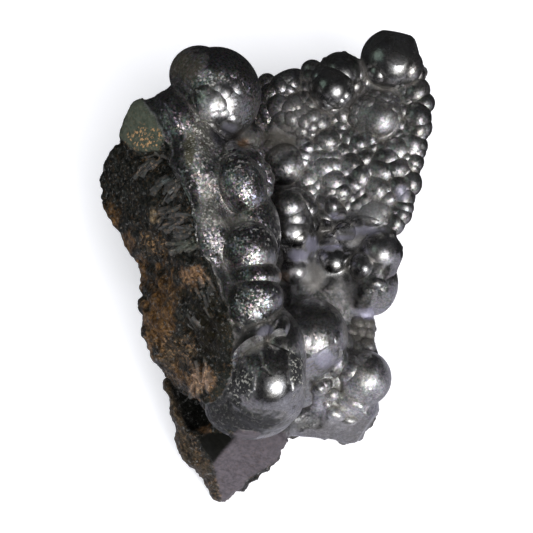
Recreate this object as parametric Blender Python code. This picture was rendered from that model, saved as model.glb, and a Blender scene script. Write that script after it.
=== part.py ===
"""Botryoidal hematite: a hand specimen about 67 mm wide, 90 mm long and 45 mm high.

A tall ridge with big glossy lumps runs down the left, its outer side broken open.
A lower plate covered with small lumps lies to the right of it, and a broken slab
carries the front end. The stone rests on a flat broken face.

Places are given as the stone is looked at from the front, steeply from above:
x to the right, y up the view and the height over the table, all in millimetres.
"""
import math

import bmesh
import bpy
from mathutils import Matrix, Vector, noise
from mathutils.bvhtree import BVHTree

MM = 0.001

# Driving dimensions, in millimetres and degrees.
VIEW_ELEVATION = 72.0
CENTRE_X = 0.1
CENTRE_Y = -4.1
PLATE_HEIGHT = 17.0
PLATE_RISE = 0.12
VOXEL = 0.75
SMOOTHING_STEPS = 2
SMOOTHING_SHARE = 0.5
TRIANGLES_KEPT = 0.095
GROUND_BLOCK = 160.0

# Rock masses, each the convex form round its corners: x, y, height.
PLATE_RIM = [
    (-4, 24), (-1.8, 36.8), (3.6, 38.8), (11, 40.9), (17.2, 41.7), (21, 41.7), (31.4, 38.8),
    (32.9, 34), (33.0, 28), (31.8, 23.5), (30.2, 17.5), (28.8, 13.5), (28.4, 9.5),
    (26.4, 6), (14, 4), (2, 4), (-2, 12),
]
PLATE_UNDERSIDE = [
    (0, 31, 10), (14, 34, 10), (28, 32, 10), (30, 22, 9), (26, 8, 7), (22, 4, 4),
    (-4, 20, -2), (6, 24, -2), (18, 22, -2), (22, 8, -2), (18, 0, -2), (-4, 0, -2),
]
MIDDLE_RIGHT = [
    (26.4, 5, 16.5), (25.2, 0, 15), (23.4, -4, 14), (21.4, -9, 13.5), (21.2, -13, 13.5),
    (2, -12, 17), (2, 8, 17.5), (22, 2, 4), (19, -10, 3), (18, 4, -2), (17, -12, -2),
    (-4, -8, -2), (-4, 6, -2),
]
FRONT_RIGHT = [
    (21.0, -11, 13.5), (22.4, -16.5, 13.5), (23.8, -21, 13.5), (23.8, -24.5, 13.5),
    (23, -27.5, 12), (20, -32.2, 9), (17.4, -35.6, 6), (15, -35.2, 6), (8.6, -34.3, 8),
    (5.6, -34.6, 9), (6, -26, 16), (2, -10, 17), (20, -30, 2), (18, -12, 3), (16, -33, 2),
    (16, -10, -2), (16, -28, -2), (10, -32, -2), (0, -34, -2), (-4, -10, -2),
]
FRONT_SLAB = [
    (-9.4, -47.0, 2), (-7.6, -46.1, 2.8), (-4.6, -44.4, 4.3), (-1.2, -42.4, 6.1),
    (0.2, -40.0, 8.7), (4.8, -35.8, 12.9), (-5.8, -34.2, 17), (-10.6, -39.8, 11.1),
    (-12.8, -43.4, 4), (-16.4, -37.4, 8), (-18.8, -33, 10), (-19.2, -26.2, 12),
    (-20.4, -22.6, 13), (-4, -20, 20), (6, -20, 16), (-8, -46.2, -2), (-14, -38, -2),
    (-15, -26, -2), (-12, -10, -2), (4, -30, -2), (8, -10, -2),
]
RIDGE_TOP = [
    (-25.2, 33.4, 32), (-22, 30, 35), (-18.8, 22.8, 39), (-16.6, 17.2, 41.5),
    (-14.4, 10.2, 43), (-13.4, 4, 43), (-19, 36.2, 32), (-14.8, 33.2, 34),
    (-12.8, 29, 35), (-7.6, 24, 34), (-4.2, 21, 33), (-2.4, 18, 32), (-1, 14, 31),
    (0.6, 9, 30), (1, 4, 30), (-8, 26, 14), (-1, 18, 14), (0, 6, 14), (-20, 28, 12),
    (-15, 30, 10), (-20, 14, 8), (-16, 4, 6), (-12, 22, -2), (-4, 18, -2), (-14, 6, -2),
    (-2, 4, -2),
]
RIDGE_MIDDLE = [
    (-14.4, 9, 42), (-11.6, -8, 42), (0.6, 9, 30), (1.6, -8, 30.5), (-0.4, 9, 10),
    (1.6, -9, 10), (-17, 10, 10), (-16, -9, 10), (-13, 9, -2), (-12, -9, -2),
    (-2, 9, -2), (0, -9, -2),
]
BROKEN_SIDE = [
    (-20.6, 21.6, 33), (-17.4, 14.4, 39), (-15.4, 6.2, 41), (-30.0, 24.4, 26),
    (-31.6, 22.8, 24), (-32.2, 20, 22), (-33.4, 17.4, 21), (-32.2, 12.2, 21),
    (-31.6, 8.8, 21), (-28.9, 5, 21.5), (-26.8, 1.4, 22), (-28, 22, 14), (-27, 12, 10),
    (-22, 4, 8), (-16, 16, -2), (-17, 6, -2), (-8, 4, -2), (-13, -4, 39.5), (-18, -4, 32),
]
CHIPPED_CORNER = [
    (-26.6, 33, 31.3), (-25, 33.4, 33), (-23, 31.2, 34.9), (-21, 28, 36.8),
    (-20.4, 25, 37.2), (-21.4, 22.4, 36.1), (-25.4, 22.2, 31.9), (-27, 23.4, 30.3),
    (-29.6, 25.6, 27.8), (-28.6, 28.4, 29), (-20, 28, 14), (-26, 24, 16), (-18, 22, 16),
]
RIDGE_LOW = [
    (-13.2, 4, 42.5), (-11.6, -2, 43), (-9.6, -8, 43), (-7.6, -14, 42),
    (-7, -20.2, 40), (-8.4, -25, 36), (-26.0, 0.6, 22), (-25.6, -1.6, 22.5),
    (-23.6, -5.2, 24), (-24.4, -10.6, 26), (-24.2, -14.6, 26), (-23.2, -17.6, 25),
    (-20.8, -20.2, 23), (-17.6, -24.8, 24), (-13, -27.2, 26), (-20.0, -12, 31.5),
    (1.6, -4, 31), (1.8, -9.6, 31), (3, -13, 31), (3.4, -18, 30), (-16, -20, 14),
    (-12, -24, 16), (-15, 0, -2), (-13, -14, -2), (0, -14, -2), (0, 0, -2),
]
CORE = [
    (-18, 17, 12), (-16, -27, 10), (-8, -38, 7), (5, -32, 9), (17, -28, 7), (18, -8, 7),
    (22, 10, 8), (18, 26, 10), (-4, 26, 12), (-13, 24, 12), (-15, 17, -2), (-14, -27, -2),
    (-7, -40, -2), (5, -33, -2), (15, -28, -2), (17, -6, -2), (20, 10, -2), (16, 22, -2),
    (-4, 22, -2), (-12, 20, -2),
]
SMOOTH_MASSES = [FRONT_RIGHT, MIDDLE_RIGHT, CHIPPED_CORNER, CORE]
BROKEN_MASSES = [FRONT_SLAB, RIDGE_TOP, RIDGE_MIDDLE, BROKEN_SIDE, RIDGE_LOW]

# The broken masses are cut into fine faces, and waves of this size and depth roughen them.
ROUGH_CUTS = 5
ROUGH_WAVE = 6.5
ROUGH_DEPTH = 1.3

# Rounded lumps: x, y, height of the middle, then half of the width, of the length and
# of the depth along the view, and the turn to the left in the view.
RIDGE_LUMPS = [
    (-10.0, 33.9, 29.5, 9.0, 9.6, 9.6, 0),
    (-12.9, 37.4, 27.5, 6.3, 6.1, 8.4, 0),
    (-4.9, 34.6, 31.5, 4.2, 5.6, 6.5, 10),
    (-15.6, 27.4, 32.6, 4.6, 8.6, 6.0, 38),
    (-12.2, 16.4, 37.4, 4.8, 8.6, 5.6, 22),
    (-10.2, 5.0, 38.6, 4.2, 8.0, 5.0, 6),
    (-5.6, 16.6, 33.0, 7.0, 8.6, 7.6, 20),
    (-2.6, 6.4, 32.0, 5.6, 9.0, 8.0, 4),
    (-5.0, 15.6, 37.2, 5.0, 6.8, 6.4, 18),
    (-3.4, 3.3, 38, 5.9, 5.4, 6.6, 0),
    (-2.2, -2.8, 38, 5.3, 2.7, 5.8, 0),
    (-2.4, -8.0, 37.5, 5.8, 4.9, 6.2, 0),
    (-1.4, -15.2, 36, 5.0, 5.4, 5.0, 10),
    (2.6, -17.4, 33, 5.2, 9.4, 7.4, 6),
    (0.1, -24.6, 33.6, 8.0, 8.4, 8.4, 0),
    (-3.4, -27.0, 28.5, 9.4, 7.6, 8.0, 0),
]
PLATE_LUMPS = [
    (3.2, 35.4, 18.6, 5.4, 2.8, 4.2, 36),
    (14.9, 38.4, 22.0, 4.3, 4.2, 4.6, 0),
    (13.2, 35.4, 22.6, 4.6, 4.6, 5.0, 0),
    (25.4, 41.2, 21.4, 5.3, 5.6, 5.6, 0),
    (7.0, 29.0, 15.4, 7.6, 5.8, 6.8, -15),
    (22.2, 29.6, 14.6, 7.4, 6.0, 7.6, 22),
    (23.8, 28.2, 18.6, 3.0, 2.9, 3.6, 0),
    (3.6, 19.6, 17.6, 3.6, 3.6, 3.6, 0),
    (13.8, 14.4, 16.6, 4.4, 3.8, 3.8, 0),
    (18.4, 17.6, 15.4, 5.0, 4.6, 5.0, 0),
    (12.0, 20.0, 15.6, 5.0, 4.0, 5.0, 0),
    (27.0, 20.0, 15.8, 4.2, 5.6, 4.4, -12),
    (24.2, 13.4, 14.6, 4.6, 4.6, 4.8, 0),
    (6.0, 7.6, 20.0, 4.2, 7.8, 6.4, 4),
    (4.5, 11.4, 22.0, 3.3, 3.3, 4.6, 0),
    (6.2, 5.6, 22.4, 3.6, 3.2, 4.4, 0),
    (13.6, 8.2, 14.4, 4.0, 3.4, 4.2, 0),
    (21.4, 9.8, 15.2, 4.2, 4.2, 4.4, 0),
    (13.4, 0.6, 14.6, 3.8, 3.8, 4.4, 0),
    (7.4, -2.4, 15.6, 3.4, 3.4, 4.0, 0),
    (21.6, -2.6, 15.2, 4.4, 7.8, 6.0, -22),
    (24.2, 2.2, 17.0, 3.7, 3.8, 4.8, 0),
    (20.4, -0.8, 17.8, 2.1, 2.1, 3.0, 0),
    (22.0, -4.0, 17.4, 2.6, 2.2, 3.4, 0),
    (9.2, -14.6, 23.0, 7.0, 7.6, 8.6, 0),
    (13.2, -14.8, 25.0, 2.2, 3.4, 4.2, 0),
    (10.4, -20.2, 14.4, 6.6, 9.0, 8.0, 0),
    (19.8, -22.8, 15.6, 5.2, 5.4, 6.4, 0),
    (16.6, -29.4, 7.6, 6.4, 6.8, 7.6, 0),
]
LUMP_RINGS = 4

# Bubbles, round: x, y and radius. Each one grows out of what is seen at its place.
BUBBLES = [
    (1.6, 32.2, 1.8), (3.6, 33.6, 1.2), (5.2, 35.2, 1.1), (8.4, 30.8, 1.0),
    (10.2, 28.6, 1.2), (11.8, 29.2, 1.0), (11.6, 25.2, 1.6), (8.8, 23.4, 1.0),
    (7.4, 24.4, 1.2), (15.4, 29.6, 1.2), (20.6, 32.4, 1.1), (21.4, 34.0, 1.0),
    (24.0, 33.8, 1.0), (25.8, 33.2, 1.0), (27.4, 30.8, 1.1), (20.8, 25.4, 1.1),
    (18.6, 24.6, 1.2), (30.8, 38.4, 1.6), (30.2, 34.8, 1.7), (32.2, 32.6, 1.1),
    (30.6, 29.8, 2.1), (30.4, 26.8, 1.4), (32.0, 27.2, 1.0), (29.6, 24.0, 1.6),
    (26.2, 23.4, 1.6), (24.2, 21.4, 2.0), (29.4, 20.2, 1.4), (22.8, 18.8, 2.0),
    (26.0, 19.0, 1.8), (17.2, 20.4, 1.6), (20.0, 21.4, 1.2), (16.0, 18.6, 1.0),
    (19.2, 17.6, 1.4), (17.4, 16.0, 1.4), (19.2, 14.4, 1.1), (15.2, 14.6, 1.1),
    (22.4, 15.2, 2.0), (26.6, 15.8, 2.0), (29.2, 17.0, 1.5), (11.8, 19.2, 1.4),
    (14.0, 19.6, 1.2), (11.2, 17.0, 1.0), (13.4, 17.0, 1.6), (8.2, 16.8, 1.6),
    (9.0, 14.8, 1.2), (11.4, 12.2, 1.4), (13.2, 13.2, 1.2), (17.2, 12.8, 1.0),
    (20.0, 12.8, 1.1), (11.8, 9.6, 1.2), (12.2, 7.0, 1.4), (14.8, 8.4, 1.3),
    (28.2, 13.2, 1.1), (27.8, 11.4, 1.1), (-0.8, 21.4, 1.0), (7.6, 21.6, 1.0),
    (19.6, 40.0, 1.3), (21.8, 38.2, 1.2), (16.4, -15.4, 1.6), (18.8, -12.0, 1.3),
    (21.0, -12.2, 1.4), (20.4, -16.4, 1.3), (14.6, -20.4, 1.7), (10.8, -24.6, 1.2),
    (13.4, -26.4, 1.1), (17.1, -27.5, 1.2), (14.0, -30.0, 1.2), (9.0, 39.6, 1.2),
    (12.0, 41.0, 1.2), (16.6, 41.4, 1.2),
]
BUBBLE_SINK = 0.25
BUBBLE_RINGS = 3

# The dark hollow under the overhang at the front left.
HOLLOW = (-15.5, -28.5, 17, 3.1, 6.8, 8.0, 34)

STONE_COLOUR = (0.07, 0.07, 0.072, 1.0)
STONE_ROUGHNESS = 0.3
STONE_METALLIC = 0.9


def clear_objects():
    for old in list(bpy.data.objects):
        bpy.data.objects.remove(old, do_unlink=True)


def toward_viewer():
    rise = math.radians(VIEW_ELEVATION)
    return Vector((0.0, -math.cos(rise), math.sin(rise)))


def spot(x, y, height):
    """The point of the stone that is seen at x, y from the front, at a height."""
    rise = math.radians(VIEW_ELEVATION)
    depth = (y - height * math.cos(rise)) / math.sin(rise)
    return Vector((x - CENTRE_X, depth - CENTRE_Y, height)) * MM


def plate_corners():
    """The plate's face is flat and rises away from the front."""
    face = [(x, y, PLATE_HEIGHT + PLATE_RISE * y) for x, y in PLATE_RIM]
    return face + PLATE_UNDERSIDE


def add_mass(mesh, corners):
    """Adds the convex form round the corners."""
    made = [mesh.verts.new(spot(*corner)) for corner in corners]
    wrapped = bmesh.ops.convex_hull(mesh, input=made)
    loose = [v for v in wrapped["geom_interior"] if isinstance(v, bmesh.types.BMVert)]
    bmesh.ops.delete(mesh, geom=loose, context="VERTS")


def add_broken_mass(mesh, corners):
    """Adds a mass whose faces are roughened as a fracture is."""
    mass = bmesh.new()
    add_mass(mass, corners)
    bmesh.ops.subdivide_edges(mass, edges=mass.edges[:], cuts=ROUGH_CUTS, use_grid_fill=True)
    middle = sum((v.co for v in mass.verts), Vector()) / len(mass.verts)
    for v in mass.verts:
        wave = noise.noise(v.co / (ROUGH_WAVE * MM))
        v.co += (v.co - middle).normalized() * (wave * ROUGH_DEPTH * MM)
    data = bpy.data.meshes.new("broken_mass")
    mass.to_mesh(data)
    mass.free()
    mesh.from_mesh(data)
    bpy.data.meshes.remove(data)


def add_lump(mesh, x, y, height, half_width, half_length, half_depth, turn):
    lean = Matrix.Rotation(math.radians(90.0 - VIEW_ELEVATION), 4, "X")
    spin = Matrix.Rotation(math.radians(turn), 4, "Z")
    size = Matrix.Diagonal((half_width * MM, half_length * MM, half_depth * MM, 1.0))
    place = Matrix.Translation(spot(x, y, height)) @ lean @ spin @ size
    bmesh.ops.create_icosphere(mesh, subdivisions=LUMP_RINGS, radius=1.0, matrix=place)


def add_bubbles(mesh):
    surface = BVHTree.FromBMesh(mesh)
    back = toward_viewer()
    for x, y, radius in BUBBLES:
        start = spot(x, y, 0.0) + back * GROUND_BLOCK * MM
        point, normal, face, distance = surface.ray_cast(start, -back)
        place = Matrix.Translation(point - normal * (BUBBLE_SINK * radius * MM))
        bmesh.ops.create_icosphere(
            mesh, subdivisions=BUBBLE_RINGS, radius=radius * MM, matrix=place
        )


def build_rock():
    mesh = bmesh.new()
    for corners in [plate_corners()] + SMOOTH_MASSES:
        add_mass(mesh, corners)
    for corners in BROKEN_MASSES:
        add_broken_mass(mesh, corners)
    for lump in RIDGE_LUMPS + PLATE_LUMPS:
        add_lump(mesh, *lump)
    bmesh.ops.recalc_face_normals(mesh, faces=mesh.faces[:])
    add_bubbles(mesh)
    return mesh


def mesh_object(name, mesh):
    data = bpy.data.meshes.new(name)
    mesh.to_mesh(data)
    mesh.free()
    made = bpy.data.objects.new(name, data)
    bpy.context.collection.objects.link(made)
    return made


def make_cutter(name, mesh):
    cutter = mesh_object(name, mesh)
    cutter.hide_render = True
    cutter.display_type = "WIRE"
    return cutter


def hollow_cutter():
    mesh = bmesh.new()
    add_lump(mesh, *HOLLOW)
    return make_cutter("hollow_cutter", mesh)


def table_cutter():
    """A block under the table's height, which leaves the face that the stone rests on."""
    mesh = bmesh.new()
    middle = Matrix.Translation((0.0, 0.0, -GROUND_BLOCK * MM / 2))
    bmesh.ops.create_cube(mesh, size=GROUND_BLOCK * MM, matrix=middle)
    return make_cutter("table_cutter", mesh)


def cut(stone, cutter):
    step = stone.modifiers.new(cutter.name, "BOOLEAN")
    step.operation = "DIFFERENCE"
    step.solver = "EXACT"
    step.object = cutter


def stone_material():
    material = bpy.data.materials.new("hematite")
    material.use_nodes = True
    shader = material.node_tree.nodes["Principled BSDF"]
    shader.inputs["Base Color"].default_value = STONE_COLOUR
    shader.inputs["Roughness"].default_value = STONE_ROUGHNESS
    shader.inputs["Metallic"].default_value = STONE_METALLIC
    return material


def make_stone():
    stone = mesh_object("hematite", build_rock())
    fuse = stone.modifiers.new("fuse", "REMESH")
    fuse.mode = "VOXEL"
    fuse.voxel_size = VOXEL * MM
    ease = stone.modifiers.new("ease", "SMOOTH")
    ease.factor = SMOOTHING_SHARE
    ease.iterations = SMOOTHING_STEPS
    thin = stone.modifiers.new("thin", "DECIMATE")
    thin.ratio = TRIANGLES_KEPT
    cut(stone, hollow_cutter())
    cut(stone, table_cutter())
    stone.data.materials.append(stone_material())
    stone.data.shade_smooth()
    return stone


clear_objects()
make_stone()
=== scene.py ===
# %% [markdown]
# # Botryoidal hematite
#
# The specimen is a crust of iron ore that grew as rounded lumps. A tall ridge of big glossy lumps
# runs down its left side, a low plate full of small lumps lies to the right, and the left side and
# the front end are broken open, dull and rusty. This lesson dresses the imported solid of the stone:
# it makes a fine, roughened copy of the stone's body, grows crisp lumps on it, and gives all of it
# one finish that changes from polished metal to weathered rock.

import math
import random

import bmesh
import bpy
import numpy as np
from mathutils import Matrix, Vector, noise
from mathutils.bvhtree import BVHTree


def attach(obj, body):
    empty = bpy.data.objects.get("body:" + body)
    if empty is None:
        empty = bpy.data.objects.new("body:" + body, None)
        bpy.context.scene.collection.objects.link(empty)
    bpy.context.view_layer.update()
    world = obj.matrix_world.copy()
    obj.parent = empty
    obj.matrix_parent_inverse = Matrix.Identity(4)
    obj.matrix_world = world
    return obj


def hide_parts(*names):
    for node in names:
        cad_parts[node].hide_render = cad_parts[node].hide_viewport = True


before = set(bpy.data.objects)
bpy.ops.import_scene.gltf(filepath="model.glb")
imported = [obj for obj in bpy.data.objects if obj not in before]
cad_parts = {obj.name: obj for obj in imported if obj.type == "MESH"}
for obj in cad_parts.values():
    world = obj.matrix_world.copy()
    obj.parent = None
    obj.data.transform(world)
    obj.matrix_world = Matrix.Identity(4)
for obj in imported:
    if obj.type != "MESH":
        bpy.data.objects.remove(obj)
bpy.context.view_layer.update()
MM = 0.001

# %% [markdown]
# ## Looking at the stone
#
# The stone is seen from steeply above. Every place on it is given the way it is seen: x to the
# right, y up the picture and the height over the table, in millimetres. Small functions turn such
# places and directions into the scene's own and back.

# %% Places as they are seen
VIEW_ELEVATION = math.radians(72.0)
CENTRE_X = 0.1
CENTRE_Y = -4.1
LOW = math.cos(VIEW_ELEVATION)
STEEP = math.sin(VIEW_ELEVATION)
TOWARD_VIEWER = Vector((0.0, -LOW, STEEP))


def spot(x, y, height):
    """The point of the scene that is seen at x, y and lies at a height over the table."""
    depth = (y - height * LOW) / STEEP
    return Vector((x - CENTRE_X, depth - CENTRE_Y, height)) * MM


def facing_way(right, up, near):
    """A direction given as it is seen, in the scene's own axes."""
    return Vector((right, up * STEEP - near * LOW, up * LOW + near * STEEP)).normalized()


def seen_places(points):
    """The x and y at which points are seen, in millimetres, one row for each point."""
    points = np.asarray(points) / MM
    x = points[:, 0] + CENTRE_X
    y = (points[:, 1] + CENTRE_Y) * STEEP + points[:, 2] * LOW
    return np.column_stack([x, y])


print("the middle of the view lies at", spot(0.0, 0.0, 0.0))

# %% [markdown]
# ## The camera
#
# A very long lens, four metres away, shows the stone with hardly any perspective, so that a place
# in the picture is a place on the stone. It looks down at 72 degrees.

# %% Place the camera
PICTURE_WIDTH = 106.6
PICTURE_MIDDLE = (0.1, -0.5, 20.0)
CAMERA_DISTANCE = 4.0
SENSOR = 36.0

lens = bpy.data.cameras.new("camera")
lens.sensor_width = SENSOR
lens.lens = SENSOR * CAMERA_DISTANCE / (PICTURE_WIDTH * MM)
camera = bpy.data.objects.new("camera", lens)
bpy.context.scene.collection.objects.link(camera)
aim = spot(*PICTURE_MIDDLE)
turn = TOWARD_VIEWER.to_track_quat("Z", "Y").to_matrix().to_4x4()
camera.matrix_world = Matrix.Translation(aim + TOWARD_VIEWER * CAMERA_DISTANCE) @ turn
bpy.context.scene.camera = camera
bpy.context.scene.view_settings.view_transform = "Standard"
print("the lens is", round(lens.lens), "mm long")

# %% [markdown]
# ## Floor and card
#
# Polished metal shows what is around it. The pale floor lights the stone but is hidden from the
# metal's mirror, and a lavender card that only the metal sees lies in front and shows in the
# undersides of the lumps. Both are single glowing faces, which stay even without a lamp for each
# side.

# %% Lay the floor and the card
FLOOR_SIZE = 1.6
FLOOR_COLOUR = (0.86, 0.86, 0.88, 1.0)
FLOOR_GLOW = 0.42
CARD_SIZE = 0.8
CARD_MIDDLE = (0.0, -CARD_SIZE / 2, 0.0003)
CARD_COLOUR = (0.88, 0.87, 1.0, 1.0)
CARD_GLOW = 0.7
BLACK_PAINT = (0.0, 0.0, 0.0, 1.0)


def new_object(name, mesh):
    """Puts a bmesh into the scene as an object, and uses it up."""
    data = bpy.data.meshes.new(name)
    mesh.to_mesh(data)
    mesh.free()
    made = bpy.data.objects.new(name, data)
    bpy.context.scene.collection.objects.link(made)
    return made


def glowing_sheet(name, size, middle, paint, roughness, colour, glow):
    mesh = bmesh.new()
    place = Matrix.Translation(middle)
    bmesh.ops.create_grid(mesh, x_segments=1, y_segments=1, size=size / 2, matrix=place)
    sheet = new_object(name, mesh)
    material = bpy.data.materials.new(name + "_paint")
    material.use_nodes = True
    inputs = material.node_tree.nodes["Principled BSDF"].inputs
    inputs["Base Color"].default_value = paint
    inputs["Roughness"].default_value = roughness
    inputs["Emission Color"].default_value = colour
    inputs["Emission Strength"].default_value = glow
    sheet.data.materials.append(material)
    return sheet


floor = glowing_sheet("floor", FLOOR_SIZE, (0, 0, 0), FLOOR_COLOUR, 0.9, FLOOR_COLOUR, FLOOR_GLOW)
floor.visible_glossy = False
card = glowing_sheet("front_card", CARD_SIZE, CARD_MIDDLE, BLACK_PAINT, 0.5, CARD_COLOUR, CARD_GLOW)
card.visible_camera = False
card.visible_diffuse = False
card.visible_shadow = False
print("the floor is", FLOOR_SIZE, "m wide and the card", CARD_SIZE, "m")

# %% [markdown]
# ## Light
#
# A soft box at the front right gives each lump its bright spot, and two wider ones soften its edge.
# The dark room leaves the rest black, and a weak greenish lamp gives the green patches. The wide
# light from above only lights what is dull.

# %% Hang the lights
ROOM_COLOUR = (0.032, 0.032, 0.033, 1.0)


def soft_box(name, toward, distance, size, brightness, colour=(1.0, 1.0, 1.0), mirrored=True):
    """A round light: the way to it as it is seen, its distance and its size in metres."""
    way = facing_way(*toward)
    data = bpy.data.lights.new(name, "AREA")
    data.shape = "DISK"
    data.size = size
    data.color = colour
    data.energy = brightness * math.pi * math.pi * (size / 2) ** 2
    light = bpy.data.objects.new(name, data)
    bpy.context.scene.collection.objects.link(light)
    place = Matrix.Translation(way * distance)
    light.matrix_world = place @ way.to_track_quat("Z", "Y").to_matrix().to_4x4()
    light.visible_camera = False
    light.visible_glossy = mirrored
    return light


soft_box("key", (0.47, -0.42, 0.78), 0.7, 0.38, 7.6)
soft_box("shoulder", (0.45, -0.38, 0.80), 0.75, 0.8, 0.95)
soft_box("glow", (0.42, -0.34, 0.84), 0.9, 1.3, 0.26)
soft_box("green_card", (-0.75, 0.32, 0.58), 0.7, 0.42, 0.6, (0.76, 1.0, 0.86))
soft_box("sky", (0.0, 0.1, 1.0), 1.0, 1.2, 3.2, (0.97, 0.97, 1.0), mirrored=False)
room = bpy.data.worlds.new("room")
room.use_nodes = True
room.node_tree.nodes["Background"].inputs["Color"].default_value = ROOM_COLOUR
bpy.context.scene.world = room
print(len(bpy.data.lights), "lights hang over the stone")

# %% [markdown]
# ## The body
#
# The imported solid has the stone's masses with coarse faces. Subdividing it would keep its facets,
# so a copy is merged, wrapped in half-millimetre faces by a voxel remesh and smoothed.

# %% Wrap and smooth a copy of the solid
BODY_VOXEL = 0.5
BODY_SMOOTHING = 4
MERGE_DISTANCE = 1e-6


def applied(made):
    """Puts the result of an object's modifiers into its mesh."""
    graph = bpy.context.evaluated_depsgraph_get()
    finished = bpy.data.meshes.new_from_object(made.evaluated_get(graph))
    old = made.data
    made.modifiers.clear()
    made.data = finished
    bpy.data.meshes.remove(old)
    finished.name = made.name
    return made


def copy_body():
    mesh = bmesh.new()
    mesh.from_mesh(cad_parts["hematite"].data)
    bmesh.ops.remove_doubles(mesh, verts=mesh.verts[:], dist=MERGE_DISTANCE)
    body = new_object("stone_body", mesh)
    wrap = body.modifiers.new("wrap", "REMESH")
    wrap.mode = "VOXEL"
    wrap.voxel_size = BODY_VOXEL * MM
    ease = body.modifiers.new("ease", "SMOOTH")
    ease.iterations = BODY_SMOOTHING
    return applied(body)


def vectors(values, field):
    """Three numbers for each point of a mesh, as rows."""
    flat = np.empty(len(values) * 3, np.float32)
    values.foreach_get(field, flat)
    return flat.reshape(-1, 3).astype(float)


def coordinates(data):
    return vectors(data.vertices, "co")


def normals(data):
    return vectors(data.vertex_normals, "vector")


def put_coordinates(data, points):
    data.vertices.foreach_set("co", points.astype(np.float32).ravel())
    data.update()


body = copy_body()
print("the body has", len(body.data.polygons), "faces")

# %% [markdown]
# ## Where the stone is broken
#
# The metal skin ends at the ridge's crest. Left of that line, and all over the underside, the stone
# is broken and dull. The share of bare rock follows from each point's place and from the way it
# faces, with noise so that the border isn't ruled.

# %% Mark the bare rock
CREST = [
    (-34, 60), (-25, 34), (-18.8, 22.8), (-19.6, 20.4), (-17.4, 17.2), (-15.4, 13.8),
    (-14.2, 9), (-13.4, 3), (-10.4, 0), (-8.8, -4), (-7.4, -9), (-5.9, -14),
    (-6.2, -19.6), (-7.2, -23.4), (-9, -26.4), (-12.4, -28.4), (-11.6, -32.4), (-6, -32.9),
    (4.6, -33.6), (6, -60),
]
CREST_SOFTNESS = 0.25
CREST_WOBBLE = 0.6
UNDERSIDE_TURN = (-0.45, -0.15)
UNDERSIDE_WOBBLE = 0.2


def crest_at(y):
    """How far right the bare rock reaches at a place y up the picture."""
    places = CREST[::-1]
    return np.interp(y, [place[1] for place in places], [place[0] for place in places])


def smooth_step(low, high, values):
    share = np.clip((values - low) / (high - low), 0.0, 1.0)
    return share * share * (3.0 - 2.0 * share)


def waves(points, size, seed=0):
    """Smooth noise of a given wave size in millimetres, one value for each point."""
    shift = Vector((seed * 7.31, seed * 3.17, seed * 5.53))
    return np.array([noise.noise(Vector(p) / (size * MM) + shift) for p in points])


def toward_viewer(facing):
    """How much a surface faces the viewer: one straight at them, nought sideways."""
    return facing @ np.array(TOWARD_VIEWER)


def bare_share(points, facing):
    places = seen_places(points)
    edge = places[:, 0] - crest_at(places[:, 1]) + CREST_WOBBLE * waves(points, 1.6, 3)
    left = 1.0 - smooth_step(-CREST_SOFTNESS, CREST_SOFTNESS, edge)
    turned = toward_viewer(facing) + UNDERSIDE_WOBBLE * waves(points, 4.0, 5)
    down = 1.0 - smooth_step(*UNDERSIDE_TURN, turned)
    return np.maximum(left, down)


points = coordinates(body.data)
facing = normals(body.data)
bare = bare_share(points, facing)
print("bare rock covers", round(float(bare.mean()) * 100), "% of the body")

# %% [markdown]
# ## Lines, outlines and patches
#
# Creases follow lines, broken faces have outlines, and stains are round patches. A painted mask
# would need an image. These functions say instead how far each point is from a line, or how much it
# lies inside a shape.

# %% Find places near lines and inside outlines
def distance_to(places, line):
    """How far places are from a line through some corners, in millimetres."""
    best = np.full(len(places), np.inf)
    for start, end in zip(line, line[1:]):
        step = np.subtract(end, start)
        share = np.clip((places - start) @ step / (step @ step), 0.0, 1.0)
        best = np.minimum(best, np.linalg.norm(places - start - share[:, None] * step, axis=1))
    return best


def outline_share(places, outline, softness=0.3):
    """One inside an outline and nought outside it, with a soft edge."""
    closed = outline + outline[:1]
    inner = np.zeros(len(places), bool)
    for (x1, y1), (x2, y2) in zip(closed, closed[1:]):
        if y1 != y2:
            reach = x1 + (places[:, 1] - y1) / (y2 - y1) * (x2 - x1)
            inner ^= ((y1 > places[:, 1]) != (y2 > places[:, 1])) & (places[:, 0] < reach)
    distance = distance_to(places, closed) * np.where(inner, 1.0, -1.0)
    return smooth_step(-softness, softness, distance)


ROUND_EDGE = (0.55, 1.25)


def round_share(places, x, y, half_x, half_y, wobble=0.0):
    """One in the middle of a round patch and nought outside it, with a ragged edge."""
    reach = np.hypot((places[:, 0] - x) / half_x, (places[:, 1] - y) / half_y) + wobble
    return 1.0 - smooth_step(*ROUND_EDGE, reach)


near = distance_to(seen_places(points), CREST) < 1.0
print(int(near.sum()), "points of the body are seen within a millimetre of the crest")

# %% [markdown]
# ## Smooth faces on the broken side
#
# A few breaks are nearly flat: a greenish facet, the pale face of the front slab and a dark chip
# beside it. They are outlined, so that the grain that comes next leaves them alone. Beside the
# front ball lies a recess.

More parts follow.
